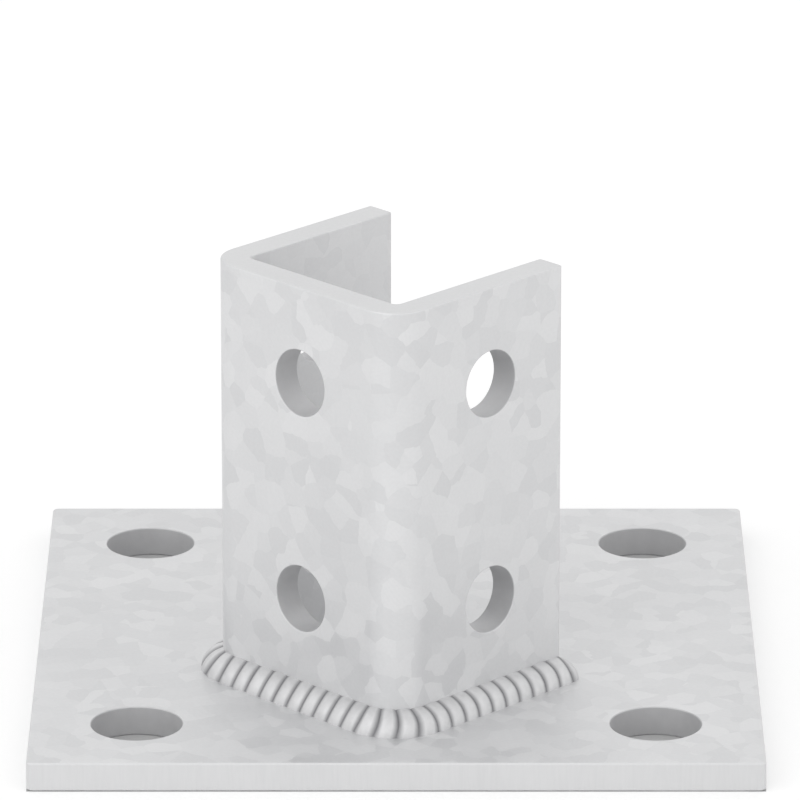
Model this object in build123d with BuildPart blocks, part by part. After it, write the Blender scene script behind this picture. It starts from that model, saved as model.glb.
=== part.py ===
from build123d import *
import math
import os

# Strut post base: a square plate, a U-shaped socket bent from plate and stood cornerwise on it, and
# the rippled fillet weld that joins the two round the outside of the socket.
# Lengths are in millimetres and angles in degrees. The origin is the middle of the base plate's
# underside, +Z is up, and the socket's near corner points along -Y.

# Base plate
plate_side = 152.4
plate_thickness = 6.35
plate_corner_radius = 1.2
anchor_hole_diameter = 19.05
anchor_hole_spacing = 107.95

# Post socket, measured over its outer faces
socket_width = 56.4
flange_length = 48.7
socket_height = 91.4
wall_thickness = 6.35
inner_bend_radius = 1.6
socket_turn = -45
socket_centre_y = -21.4

# Bolt holes in the socket's walls
bolt_hole_diameter = 14.3
bolt_hole_spacing = 47.63
bolt_hole_drop = 20.85
flange_hole_setback = 21.35

# Breaking of sheared and punched edges
edge_break = 0.5
hole_break = 0.35

# Weld bead
bead_leg = 4.76
bead_crown = 1.2
ripple_pitch = 4.2
ripple_depth = 0.5
toe_ripple = 0.25
ripple_steps = 4
bead_end_turn = 45
bead_bite = 0.5

os.makedirs("parts", exist_ok=True)

# Sizes worked out from the ones above
outer_bend_radius = inner_bend_radius + wall_thickness
groove_leg = bead_leg - toe_ripple
groove_crown = bead_crown - ripple_depth
upper_hole_height = socket_height - bolt_hole_drop
lower_hole_height = upper_hole_height - bolt_hole_spacing
web_y = -socket_width / 2
flange_end_y = web_y + flange_length
flange_hole_y = web_y + wall_thickness + flange_hole_setback

# The socket stands on the plate in a plane of its own: X runs along the web, Y from the web towards
# the open side.
socket_plane = Plane((0, socket_centre_y, plate_thickness)).rotated((0, 0, socket_turn))
web_face = Plane(
    socket_plane.from_local_coords((0, web_y, 0)),
    x_dir=socket_plane.x_dir,
    z_dir=-socket_plane.y_dir,
)
flange_face = Plane(
    socket_plane.from_local_coords((socket_width / 2, flange_hole_y, 0)),
    x_dir=socket_plane.y_dir,
    z_dir=socket_plane.x_dir,
)


def socket_outline(side, web, end, bend_radius):
    """Open U-shaped line from one flange's end round both bends to the other's."""
    return FilletPolyline((-side, end), (-side, web), (side, web), (side, end), radius=bend_radius)


# Base plate, with eased edges and four anchor holes punched from above
with BuildPart() as base_plate:
    with BuildSketch():
        RectangleRounded(plate_side, plate_side, plate_corner_radius)
    extrude(amount=plate_thickness)
    chamfer(base_plate.faces().filter_by(Axis.Z).edges(), edge_break)
    with BuildSketch():
        with GridLocations(anchor_hole_spacing, anchor_hole_spacing, 2, 2):
            Circle(anchor_hole_diameter / 2)
    extrude(amount=plate_thickness, mode=Mode.SUBTRACT)
    chamfer(base_plate.edges(Select.LAST).filter_by(GeomType.CIRCLE), hole_break)

base_plate.part.label = "base_plate"

# Post socket: plate of one thickness bent twice, with two bolt holes in each of its three walls
with BuildPart() as post_socket:
    with BuildSketch(socket_plane) as bent_section:
        with BuildLine():
            outside = socket_outline(socket_width / 2, web_y, flange_end_y, outer_bend_radius)
            inside = socket_outline(
                socket_width / 2 - wall_thickness,
                web_y + wall_thickness,
                flange_end_y,
                inner_bend_radius,
            )
            Line(outside @ 0, inside @ 0)
            Line(outside @ 1, inside @ 1)
        make_face()
        chamfer(bent_section.vertices().group_by(Axis.Y)[-1], edge_break)
    extrude(amount=socket_height)
    chamfer(post_socket.faces().sort_by(Axis.Z)[-1].edges(), edge_break)
    with BuildSketch(web_face):
        with Locations((0, lower_hole_height), (0, upper_hole_height)):
            Circle(bolt_hole_diameter / 2)
    extrude(amount=-wall_thickness, mode=Mode.SUBTRACT)
    chamfer(post_socket.edges(Select.LAST).filter_by(GeomType.CIRCLE), hole_break)
    with BuildSketch(flange_face):
        with Locations((0, lower_hole_height), (0, upper_hole_height)):
            Circle(bolt_hole_diameter / 2)
    extrude(amount=-socket_width, mode=Mode.SUBTRACT)
    chamfer(post_socket.edges(Select.LAST).filter_by(GeomType.CIRCLE), hole_break)

post_socket.part.label = "post_socket"


def bead_profile(root, along, leg, crown, bite):
    """Convex fillet profile square to the weld root.

    Where it bites into the wall and the plate, those pieces trim it to a true seat.
    """
    forward = root % along
    station = Plane(root @ along, x_dir=forward.cross(Vector(0, 0, 1)), z_dir=-forward)
    rise = leg / 2 + crown * math.sqrt(0.5)
    with BuildSketch(station) as profile:
        with BuildLine():
            ThreePointArc((leg, 0), (rise, rise), (0, leg))
            if bite > 0:
                Polyline((0, leg), (-bite, leg), (-bite, -bite), (leg, -bite), (leg, 0))
            else:
                Polyline((0, leg), (0, 0), (leg, 0))
        make_face()
    return profile.sketch


def lay_ripple(root, start, end):
    """One ripple of the bead: it swells from the groove at its start and sinks to the next one."""
    sections = []
    for step in range(ripple_steps + 1):
        fraction = step / ripple_steps
        sink = 1 - math.sin(math.pi * fraction)
        leg = bead_leg - toe_ripple * sink
        crown = bead_crown - ripple_depth * sink
        sections.append(bead_profile(root, start + (end - start) * fraction, leg, crown, bead_bite))
    loft(sections, ruled=True)


def ripple_count(run):
    """Ripples keep their pitch along the middle of the bead, which is longer round a bend."""
    stretch = 1
    if run.geom_type == GeomType.CIRCLE:
        stretch = (outer_bend_radius + bead_leg / 2) / outer_bend_radius
    return max(1, round(run.length * stretch / ripple_pitch))


# Weld bead: ripples laid end to end along the socket's outer faces, one loft to each. Past its last
# ripple at either end, the bead begins to roll round the flange's edge.
with BuildPart() as weld_bead:
    with BuildLine(socket_plane, mode=Mode.PRIVATE) as weld_root:
        socket_outline(socket_width / 2, web_y, flange_end_y - edge_break, outer_bend_radius)
    runs = weld_root.wire().order_edges()
    for run in runs:
        count = ripple_count(run)
        for ripple in range(count):
            lay_ripple(run, ripple / count, (ripple + 1) / count)
    for run, along, turn in ((runs[0], 0, -bead_end_turn), (runs[-1], 1, bead_end_turn)):
        revolve(
            bead_profile(run, along, groove_leg, groove_crown, 0),
            axis=Axis(run @ along, (0, 0, 1)),
            revolution_arc=turn,
        )
    add(post_socket.part, mode=Mode.SUBTRACT)
    add(base_plate.part, mode=Mode.SUBTRACT)

weld_bead.part.label = "weld_bead"

for piece in (base_plate, post_socket, weld_bead):
    export_step(piece.part, f"parts/{piece.part.label}.step")
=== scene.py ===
import math
import random
from functools import cached_property

import bmesh
import bpy
from mathutils import Matrix, Vector


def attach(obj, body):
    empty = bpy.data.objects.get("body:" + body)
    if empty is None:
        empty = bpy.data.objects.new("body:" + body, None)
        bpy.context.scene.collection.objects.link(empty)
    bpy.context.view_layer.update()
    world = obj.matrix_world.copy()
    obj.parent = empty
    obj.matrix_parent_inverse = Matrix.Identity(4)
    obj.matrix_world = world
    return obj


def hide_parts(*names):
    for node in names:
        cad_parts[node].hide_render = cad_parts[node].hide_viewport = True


# Post base: a base plate, a U-shaped socket stood cornerwise on it, and the rippled weld that joins
# the two. Lengths are in metres, and a pattern's scale is in repeats per metre.

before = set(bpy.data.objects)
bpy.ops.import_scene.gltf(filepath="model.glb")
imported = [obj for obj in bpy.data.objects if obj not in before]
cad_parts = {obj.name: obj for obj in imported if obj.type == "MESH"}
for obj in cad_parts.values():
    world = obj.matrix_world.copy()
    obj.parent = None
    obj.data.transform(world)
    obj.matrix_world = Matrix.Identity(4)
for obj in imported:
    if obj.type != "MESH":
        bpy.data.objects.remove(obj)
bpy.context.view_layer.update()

MM = 0.001

# Base plate. An anchor hole is as far from the plate's middle along one side as along the other.
plate_side = 152.4 * MM
plate_thickness = 6.35 * MM
plate_corner_radius = 1.2 * MM
plate_corner_segments = 5
anchor_hole_radius = 9.525 * MM
anchor_hole_reach = 53.975 * MM

# Socket, measured over its outer faces. Bolt holes are placed from its foot, and those in the
# flanges from the web's outer face.
socket_width = 56.4 * MM
flange_length = 48.7 * MM
socket_height = 91.4 * MM
wall_thickness = 6.35 * MM
inner_bend_radius = 1.6 * MM
outer_bend_radius = inner_bend_radius + wall_thickness
bolt_hole_radius = 7.15 * MM
bolt_hole_heights = (22.92 * MM, 70.55 * MM)
flange_hole_reach = 27.7 * MM
socket_centre_y = -21.4 * MM
socket_turn = math.radians(-45)
socket_place = Matrix.Translation((0, socket_centre_y, plate_thickness)) @ Matrix.Rotation(
    socket_turn, 4, "Z"
)

# The socket's flat blank, measured along its outer face from the middle of the web. A narrow strip
# at either side of a bend keeps the shading of the flat walls flat.
web_flat = socket_width / 2 - outer_bend_radius
bend_end = web_flat + outer_bend_radius * math.pi / 2
flange_end = bend_end + flange_length - outer_bend_radius
bend_steps = 14
bend_margin = 0.4 * MM

# Punched holes and rounded edges
hole_segments = 72
edge_round = 0.5 * MM
hole_round = 0.35 * MM
edge_round_segments = 3
sharp_edge_angle = math.radians(40)

# Places of the finishes among those of the plate and the socket. Rolled faces keep the first, 0.
cut_edge_finish = 1
# The finish of the hole walls is darker than the others, partly as painted shade.
hole_wall_finish = 2

# Weld. Leg and crown are those at the crest of a ripple, and toe_ripple and ripple_depth are what
# they lose in a groove. Ripples bow forward by ripple_lead, except close to the weld's ends.
weld_leg = 4.76 * MM
weld_crown = 1.2 * MM
toe_ripple = 0.25 * MM
ripple_depth = 0.5 * MM
ripple_lead = 0.4 * MM
lead_fade = 4 * MM
crest_flatness = 2.4
# How far the painted shade of a groove reaches to either side of it
groove_shade_reach = 0.85 * MM
ripples_along_straight = 10
ripples_round_bend = 4
weld_end = flange_end - edge_round

# How much the grooves' places and the ripples' heights vary, as in a weld laid by hand
hand_seed = 11
pitch_wander = 0.09 * MM
swell_range = (0.85, 1.08)

# Domed tails of the weld. The painted shade of the groove where one starts fades out in the first
# part of it.
weld_tail = 0.3 * MM
weld_tail_turn = math.radians(90)
tail_groove_shade_share = 1 / 6

# Mesh of the weld: how fine it is, and where it merges and creases. Its rows are the profile's
# points, with the root at either end.
ripple_steps = 14
tail_steps = 10
profile_steps = 24
last_row = profile_steps + 2
weld_merge_distance = 0.01 * MM
weld_crease_angle = math.radians(50)

# Zinc. A crystal's fine lines are given as radians of their wave per metre.
zinc_metallic = 0.6
crystal_wander = 1.6 * MM
crystal_lines = 14000

# Sockets of a Mix node set to colours, which share their names with its sockets for numbers
mix_low_colour = 6
mix_high_colour = 7
mixed_colour = 2

# Camera, as fitted to the drawing's viewpoint
camera_target = Vector((0.78, 0, 58.62)) * MM
camera_tilt = math.radians(19.415)
camera_distance = 1861.6 * MM
camera_lens = 395.5

# Softboxes: name, place, size and watts
lamp_aim = Vector((0, 0, 0.04))
softboxes = (
    ("left softbox", (-2.2, -2.1, 1.9), (4.8, 3.8), 33),
    ("right softbox", (2.6, -1.9, 1.9), (4.6, 3.8), 17),
    ("front softbox", (0, -2.8, 1.0), (1.8, 1.4), 2),
    ("top softbox", (0.1, 1.2, 2.4), (2.4, 2.0), 3),
)

# Floor and world. Where either is seen directly, floor_glow lifts the floor's colour to white,
# except in the painted shade under the plate, and the world is white itself; world_light is how
# much of that white lights the object.
floor_reach = 6
floor_colour = (0.86, 0.86, 0.86)
# Painted shade: the floor under the plate is darker, so that the floor at the bottom of the anchor
# holes looks shaded.
floor_painted_shade_under_plate = (0.5, 0.5, 0.5)
floor_roughness = 0.9
floor_glow = 0.21
world_light = 0.77


def fold(point):
    """Carries a point of the flat blank round the bends. x runs along it, and y into its wall."""
    past_web = max(abs(point.x) - web_flat, 0)
    turn = min(past_web / outer_bend_radius, math.pi / 2)
    past_bend = max(abs(point.x) - bend_end, 0)
    radius = outer_bend_radius - point.y
    across = min(abs(point.x), web_flat) + radius * math.sin(turn)
    along = outer_bend_radius - socket_width / 2 - radius * math.cos(turn) + past_bend
    return Vector((math.copysign(across, point.x), along, point.z))


def fold_up(shape):
    """Folds a shape made on the flat blank, and stands it in its place on the plate."""
    for vertex in shape.verts:
        vertex.co = socket_place @ fold(vertex.co)
    bmesh.ops.recalc_face_normals(shape, faces=shape.faces[:])


def add_object(name, data):
    """Adds an object to the scene, at the origin."""
    made = bpy.data.objects.new(name, data)
    bpy.context.scene.collection.objects.link(made)
    return made


def add_shape(name, shape, materials):
    """Adds a finished shape to the scene, with its materials."""
    mesh = bpy.data.meshes.new(name)
    shape.to_mesh(mesh)
    shape.free()
    for material in materials:
        mesh.materials.append(material)
    return add_object(name, mesh)


def finish_piece(shape, name, node, materials):
    """Makes the finished object of a piece, which rides on the root and stands for its CAD node."""
    piece = add_shape(name, shape, materials)
    for polygon in piece.data.polygons:
        polygon.use_smooth = True
    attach(piece, "root")
    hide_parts(node)
    return piece


def punch(shape, face, places, radius, turn):
    """Opens round holes in one flat face. turn lays a level circle in the plane of that face."""
    rims = list(face.edges)
    bmesh.ops.delete(shape, geom=[face], context="FACES_ONLY")
    for place in places:
        circle = bmesh.ops.create_circle(
            shape,
            cap_ends=False,
            segments=hole_segments,
            radius=radius,
            matrix=Matrix.Translation(place) @ turn,
        )
        rims.extend(dict.fromkeys(edge for vertex in circle["verts"] for edge in vertex.link_edges))
    bmesh.ops.triangle_fill(shape, use_beauty=True, use_dissolve=True, edges=rims)


def thicken(shape, offset):
    """Gives a flat sheet its thickness."""
    grown = bmesh.ops.extrude_face_region(shape, geom=shape.faces[:])
    moved = [item for item in grown["geom"] if isinstance(item, bmesh.types.BMVert)]
    bmesh.ops.translate(shape, verts=moved, vec=offset)
    bmesh.ops.recalc_face_normals(shape, faces=shape.faces[:])


def sort_faces(shape, through, places, radius):
    """Tells the walls of the punched holes and the cut edges from the rolled faces.

    through is the direction in which the holes go through the sheet.
    """
    for face in shape.faces:
        middle = face.calc_center_median()
        if any(through.cross(middle - place).length < radius for place in places):
            face.material_index = hole_wall_finish
        elif abs(face.normal.dot(through)) < 0.5:
            face.material_index = cut_edge_finish


def weigh_edges(shape, seat_height=-math.inf):
    """Says how far each sharp edge is rounded: the rims of holes less than the other edges.

    An edge below seat_height is seated on the plate, and stays sharp.
    """
    weight = shape.edges.layers.float.new("bevel_weight_edge")
    for edge in shape.edges:
        if len(edge.link_faces) < 2 or edge.calc_face_angle() < sharp_edge_angle:
            continue
        if all(vertex.co.z < seat_height for vertex in edge.verts):
            edge.smooth = False
        elif any(face.material_index == hole_wall_finish for face in edge.link_faces):
            edge[weight] = hole_round / edge_round
        else:
            edge[weight] = 1


def round_edges(piece):
    """Rounds the weighed edges, and keeps the flat faces flat in their shading."""
    rounding = piece.modifiers.new("rounded edges", "BEVEL")
    rounding.width = edge_round
    rounding.segments = edge_round_segments
    rounding.limit_method = "WEIGHT"
    rounding.harden_normals = True


class Wire:
    """A socket that takes plain arithmetic, each step of which is a Math node."""

    def __init__(self, finish, socket):
        self.finish = finish
        self.socket = socket

    def __add__(self, other):
        return self.finish.math("ADD", self, other)

    def __sub__(self, other):
        return self.finish.math("SUBTRACT", self, other)

    def __mul__(self, other):
        return self.finish.math("MULTIPLY", self, other)

    def __rsub__(self, other):
        return self.finish.math("SUBTRACT", other, self)

    __radd__ = __add__
    __rmul__ = __mul__


class Finish:
    """The nodes of a material, or of the world, and the one way in which they are made."""

    def __init__(self, name, owners=bpy.data.materials, shader="Principled BSDF"):
        self.owner = owners.new(name)
        self.owner.use_nodes = True
        self.tree = self.owner.node_tree
        self.shader = self.tree.nodes[shader]

    def node(self, kind, settings, sockets, output=0):
        made = self.tree.nodes.new(kind)
        for name, value in settings.items():
            setattr(made, name, value)
        self.feed(made, sockets)
        return Wire(self, made.outputs[output])

    def feed(self, node, sockets):
        """Links a node's sockets to wires, and sets them to plain values."""
        for name, value in sockets.items():
            if isinstance(value, Wire):
                self.tree.links.new(value.socket, node.inputs[name])
            else:
                node.inputs[name].default_value = value

    @cached_property
    def place(self):
        return self.node("ShaderNodeTexCoord", {}, {}, "Object")

    def math(self, operation, *values):
        return self.node("ShaderNodeMath", {"operation": operation}, dict(enumerate(values)))

    def vector(self, operation, *values, output="Vector"):
        return self.node(
            "ShaderNodeVectorMath", {"operation": operation}, dict(enumerate(values)), output
        )

    def stretched(self, x, y, z):
        return self.node("ShaderNodeMapping", {}, {"Vector": self.place, "Scale": (x, y, z)})

    def noise(self, scale, detail, place=None):
        return self.node(
            "ShaderNodeTexNoise",
            {},
            {"Vector": place or self.place, "Scale": scale, "Detail": detail, "Roughness": 0.55},
        )

    def tint(self, amount, low, high):
        return self.node(
            "ShaderNodeMix",
            {"data_type": "RGBA"},
            {"Factor": amount, mix_low_colour: (*low, 1), mix_high_colour: (*high, 1)},
            mixed_colour,
        )

    def bump(self, height, distance, strength):
        sockets = {"Height": height, "Distance": distance, "Strength": strength}
        return self.node("ShaderNodeBump", {}, sockets)

    def coat(self, colour, roughness, relief):
        """Gives the material its coat of zinc."""
        self.feed(
            self.shader,
            {
                "Base Color": colour,
                "Roughness": roughness,
                "Normal": relief,
                "Metallic": zinc_metallic,
            },
        )


def zinc_on_plate():
    """Zinc on the rolled faces: faint crystals a few millimetres across, over clouds and grain."""
    zinc = Finish("zinc on rolled plate")
    wander = zinc.node(
        "ShaderNodeTexNoise", {}, {"Vector": zinc.place, "Scale": 300, "Detail": 2}, "Color"
    )
    drift = zinc.vector("MULTIPLY_ADD", wander, (crystal_wander,) * 3, zinc.place)
    crystal = zinc.node("ShaderNodeTexVoronoi", {}, {"Vector": drift, "Scale": 210}, "Color")
    crystal_tone = zinc.node("ShaderNodeSeparateColor", {}, {"Color": crystal}, "Red")
    # Fine lines, which run another way on each crystal
    lean = zinc.vector("SUBTRACT", crystal, (0.5, 0.5, 0.5))
    across_lines = zinc.vector("DOT_PRODUCT", zinc.place, lean, output="Value")
    feather = zinc.math("SINE", across_lines * crystal_lines)
    cloud = zinc.noise(scale=24, detail=3)
    grain = zinc.noise(scale=1500, detail=3)
    uneven = zinc.noise(scale=260, detail=4)
    colour = zinc.tint(
        crystal_tone * 0.42 + cloud * 0.34 + grain * 0.24,
        low=(0.585, 0.588, 0.597),
        high=(0.785, 0.786, 0.791),
    )
    roughness = 0.4 + crystal_tone * 0.16 + cloud * 0.08 + feather * 0.015
    relief = zinc.bump(uneven + feather * 0.06, distance=0.12 * MM, strength=0.22)
    zinc.coat(colour, roughness, relief)
    return zinc.owner


def zinc_on_cut_edge():
    """Zinc on the sheared edges: fine lines across the thickness show through the coat."""
    zinc = Finish("zinc on sheared edge")
    shear = zinc.noise(scale=1, detail=3, place=zinc.stretched(1500, 1500, 130))
    cloud = zinc.noise(scale=40, detail=3)
    colour = zinc.tint(
        shear * 0.5 + cloud * 0.5, low=(0.62, 0.623, 0.63), high=(0.74, 0.74, 0.745)
    )
    relief = zinc.bump(shear, distance=0.12 * MM, strength=0.3)
    zinc.coat(colour, 0.44 + cloud * 0.12, relief)
    return zinc.owner


def zinc_in_hole_with_painted_shade():
    """Zinc on the walls of the punched holes: a duller coat over the tearing left by the punch,
    darker partly for that coat and partly as painted shade.
    """
    zinc = Finish("zinc in punched hole with painted shade")
    tear = zinc.noise(scale=420, detail=4)
    cloud = zinc.noise(scale=90, detail=3)
    # Darker than the rolled faces: partly the duller coat, partly painted shade in the holes.
    colour = zinc.tint(tear * 0.5 + cloud * 0.5, low=(0.53, 0.53, 0.54), high=(0.65, 0.65, 0.655))
    relief = zinc.bump(tear, distance=0.15 * MM, strength=0.35)
    zinc.coat(colour, 0.55 + cloud * 0.1, relief)
    return zinc.owner


def zinc_on_weld():
    """Zinc on the weld: fine waves in each ripple, and painted shade down in each groove, which is
    also rougher.
    """
    zinc = Finish("zinc on weld")
    wave = zinc.noise(scale=700, detail=3)
    cloud = zinc.noise(scale=120, detail=3)
    # The groove attribute says where painted shade darkens the weld down each groove.
    groove = zinc.node("ShaderNodeAttribute", {"attribute_name": "groove"}, {}, "Fac")
    colour = zinc.tint(
        (0.5 + wave * 0.22 + cloud * 0.28) * (1 - groove * 0.85),
        low=(0.18, 0.18, 0.19),
        high=(0.8, 0.8, 0.805),
    )
    relief = zinc.bump(wave, distance=0.1 * MM, strength=0.3)
    zinc.coat(colour, 0.5 + cloud * 0.08 + groove * 0.15, relief)
    return zinc.owner


def make_base_plate(finishes):
    """Base plate: a flat sheet with rounded corners and four anchor holes."""
    shape = bmesh.new()
    bmesh.ops.create_grid(shape, x_segments=1, y_segments=1, size=plate_side / 2)
    bmesh.ops.bevel(
        shape,
        geom=shape.verts[:],
        offset=plate_corner_radius,
        affect="VERTICES",
        segments=plate_corner_segments,
        profile=0.5,
        material=-1,
    )
    shape.faces.ensure_lookup_table()
    reaches = (-anchor_hole_reach, anchor_hole_reach)
    places = [Vector((x, y, 0)) for x in reaches for y in reaches]
    punch(shape, shape.faces[0], places, anchor_hole_radius, Matrix.Identity(4))
    thicken(shape, (0, 0, plate_thickness))
    sort_faces(shape, Vector((0, 0, 1)), places, anchor_hole_radius)
    weigh_edges(shape)
    piece = finish_piece(shape, "base_plate_zinc", "base_plate", finishes)
    round_edges(piece)


def roll_out_blank(shape):
    """Lays out the outer face of the socket's blank in upright strips, and gives its flat walls."""
    stations = [web_flat - bend_margin]
    for step in range(bend_steps + 1):
        stations.append(web_flat + (bend_end - web_flat) * step / bend_steps)
    stations.extend((bend_end + bend_margin, flange_end))
    stations = [-station for station in reversed(stations)] + stations
    foot = shape.verts.new((stations[0], 0, 0))
    rim = shape.verts.new((stations[0], 0, socket_height))
    edge = shape.edges.new((foot, rim))
    walls = []
    for here, there in zip(stations, stations[1:]):
        grown = bmesh.ops.extrude_edge_only(shape, edges=[edge])["geom"]
        ends = [item for item in grown if isinstance(item, bmesh.types.BMVert)]
        bmesh.ops.translate(shape, verts=ends, vec=(there - here, 0, 0))
        edge = shape.edges.get(ends)
        if there - here > outer_bend_radius:
            walls.append(edge.link_faces[0])
    return walls


def make_post_socket(finishes):
    """Post socket, punched as a flat blank and then folded."""
    shape = bmesh.new()
    walls = roll_out_blank(shape)
    upright = Matrix.Rotation(math.pi / 2, 4, "X")
    flange_hole = bend_end + flange_hole_reach - outer_bend_radius
    holes = []
    for wall, reach in zip(walls, (-flange_hole, 0, flange_hole)):
        places = [Vector((reach, 0, height)) for height in bolt_hole_heights]
        punch(shape, wall, places, bolt_hole_radius, upright)
        holes.extend(places)
    thicken(shape, (0, wall_thickness, 0))
    sort_faces(shape, Vector((0, 1, 0)), holes, bolt_hole_radius)
    weigh_edges(shape, seat_height=edge_round)
    fold_up(shape)
    piece = finish_piece(shape, "post_socket_zinc", "post_socket", finishes)
    round_edges(piece)


def ripple_edges():
    """Where each ripple of the weld begins along the blank, and where the last one ends."""
    runs = (
        (-weld_end, -bend_end, ripples_along_straight),
        (-bend_end, -web_flat, ripples_round_bend),
        (-web_flat, web_flat, ripples_along_straight),
        (web_flat, bend_end, ripples_round_bend),
        (bend_end, weld_end, ripples_along_straight),
    )
    edges = []
    for start, end, count in runs:
        edges.extend(start + (end - start) * ripple / count for ripple in range(count))
    return edges + [weld_end]


def weld_swell(fraction):
    """Swell of a ripple part way along it: none in the grooves at its ends, full at its crest."""
    return 1 - abs(2 * fraction - 1) ** crest_flatness


def weld_stations(edges, swells):
    """Stations along the weld: place along the blank, swell of the bead there, strength of a
    groove's painted shade.
    """
    crest = 0.5
    tail = []
    for step in range(1, tail_steps + 1):
        past = math.sin(math.pi / 2 * step / tail_steps)
        groove = max(1 - past / tail_groove_shade_share, 0)
        tail.append((weld_tail * past, weld_swell(min(past, crest)), groove))
    stations = [(edges[0] - past, swell, groove) for past, swell, groove in reversed(tail)]
    for start, end, height in zip(edges, edges[1:], swells):
        for step in range(ripple_steps):
            fraction = (1 - math.cos(math.pi * step / ripple_steps)) / 2
            from_groove = min(fraction, 1 - fraction) * (end - start)
            along = start + (end - start) * fraction
            groove = max(1 - from_groove / groove_shade_reach, 0)
            stations.append((along, weld_swell(fraction) * height, groove))
    stations.append((edges[-1], 0, 1))
    stations.extend((edges[-1] + past, swell, groove) for past, swell, groove in tail)
    return stations


def weld_profile(row, leg, crown):
    """Point of the convex profile: out from the wall and up from the plate, or at the root."""
    if row in (0, last_row):
        return 0, 0
    half_chord = leg / math.sqrt(2)
    radius = (half_chord ** 2 + crown ** 2) / (2 * crown)
    half_angle = math.asin(half_chord / radius)
    angle = math.pi / 4 + half_angle * (2 * (row - 1) / profile_steps - 1)
    centre = leg / 2 - (radius - crown) / math.sqrt(2)
    return centre + radius * math.cos(angle), centre + radius * math.sin(angle)


def weld_point(along, swell, row):
    """Point of the weld on the flat blank. Past the weld's end, the profile turns and shrinks."""
    leg = weld_leg - toe_ripple * (1 - swell)
    crown = weld_crown - ripple_depth * (1 - swell)
    out, up = weld_profile(row, leg, crown)
    past = max(abs(along) - weld_end, 0)
    shrink = math.sqrt(max(1 - (past / weld_tail) ** 2, 0))
    out, up = out * shrink, up * shrink
    turn = weld_tail_turn * past / weld_tail
    lean = math.copysign(out * math.sin(turn), along)
    fade = min((weld_end - min(abs(along), weld_end)) / lead_fade, 1)
    across = min(max((row - 1) / profile_steps, 0), 1)
    lead = ripple_lead * fade * math.sin(math.pi * across)
    return Vector((along + lean + lead, -out * math.cos(turn), up))


def make_weld_bead(finishes):
    """Weld bead: a sheet laid along the blank's foot, swelled by ripples and folded with it."""
    hand = random.Random(hand_seed)
    edges = ripple_edges()
    for index in range(1, len(edges) - 1):
        edges[index] += hand.uniform(-pitch_wander, pitch_wander)
    swells = [hand.uniform(*swell_range) for ripple in edges[1:]]
    stations = weld_stations(edges, swells)
    last_station = len(stations) - 1
    shape = bmesh.new()
    painted_groove_shade = shape.verts.layers.float.new("groove")
    bmesh.ops.create_grid(shape, x_segments=last_station, y_segments=last_row, size=0.5)
    for vertex in shape.verts:
        along, swell, groove = stations[round((vertex.co.x + 0.5) * last_station)]
        row = round((vertex.co.y + 0.5) * last_row)
        vertex.co = weld_point(along, swell, row)
        # Strength of the painted shade of a groove, which the weld's material reads
        vertex[painted_groove_shade] = groove
    bmesh.ops.remove_doubles(shape, verts=shape.verts[:], dist=weld_merge_distance)
    fold_up(shape)
    piece = finish_piece(shape, "weld_bead_zinc", "weld_bead", finishes)
    piece.data.set_sharp_from_angle(angle=weld_crease_angle)


def make_camera():
    """Camera in front of the socket's near corner, looking down at it."""
    camera = add_object("camera", bpy.data.cameras.new("camera"))
    camera.data.lens = camera_lens
    camera.data.sensor_width = 36
    camera.data.clip_start = 0.1
    camera.data.clip_end = 30
    back = Vector((0, -math.cos(camera_tilt), math.sin(camera_tilt)))
    camera.location = camera_target + camera_distance * back
    camera.rotation_euler = (math.pi / 2 - camera_tilt, 0, 0)
    bpy.context.scene.camera = camera


def make_softbox(name, place, size, watts):
    """Lamp with a rectangular face, aimed at the object."""
    lamp = bpy.data.lights.new(name, "AREA")
    lamp.shape = "RECTANGLE"
    lamp.size, lamp.size_y = size
    lamp.energy = watts
    box = add_object(name, lamp)
    box.location = place
    box.rotation_euler = (lamp_aim - Vector(place)).to_track_quat("-Z", "Y").to_euler()


def seen_directly(finish):
    """1 for what the camera sees, straight or mirrored, and 0 for the light on the object."""
    camera, glossy, transmission = (
        finish.node("ShaderNodeLightPath", {}, {}, ray)
        for ray in ("Is Camera Ray", "Is Glossy Ray", "Is Transmission Ray")
    )
    return finish.math("MAXIMUM", camera, finish.math("MAXIMUM", glossy, transmission))


def make_floor():
    """Floor of pale paper, with painted shade and no glow under the plate, where only the anchor
    holes show it.
    """
    paper = Finish("pale paper")
    reach = paper.vector("ABSOLUTE", paper.place)
    across = paper.node("ShaderNodeSeparateXYZ", {}, {"Vector": reach}, "X")
    along = paper.node("ShaderNodeSeparateXYZ", {}, {"Vector": reach}, "Y")
    # Mask of the painted shade: 0 under the plate, where the floor is darker and has no glow, and 1
    # around it.
    outside_painted_shade = paper.math("GREATER_THAN", paper.math("MAXIMUM", across, along), plate_side / 2)
    paper.feed(
        paper.shader,
        {
            "Base Color": paper.tint(outside_painted_shade, floor_painted_shade_under_plate, floor_colour),
            "Roughness": floor_roughness,
            "Emission Color": paper.tint(seen_directly(paper) * outside_painted_shade, (0, 0, 0), (1, 1, 1)),
            "Emission Strength": floor_glow,
        },
    )
    shape = bmesh.new()
    bmesh.ops.create_grid(shape, x_segments=1, y_segments=1, size=floor_reach)
    floor = add_shape("floor", shape, [paper.owner])


def make_world():
    """White studio, which lights the object a little less than it shows."""
    studio = Finish("studio", bpy.data.worlds, "Background")
    strength = world_light + seen_directly(studio) * (1 - world_light)
    studio.feed(studio.shader, {"Color": (1, 1, 1, 1), "Strength": strength})
    bpy.context.scene.world = studio.owner


plate_finishes = [zinc_on_plate(), zinc_on_cut_edge(), zinc_in_hole_with_painted_shade()]
make_base_plate(plate_finishes)
make_post_socket(plate_finishes)
make_weld_bead([zinc_on_weld()])

make_camera()
for softbox in softboxes:
    make_softbox(*softbox)
make_floor()
make_world()
bpy.context.scene.view_settings.view_transform = "Standard"
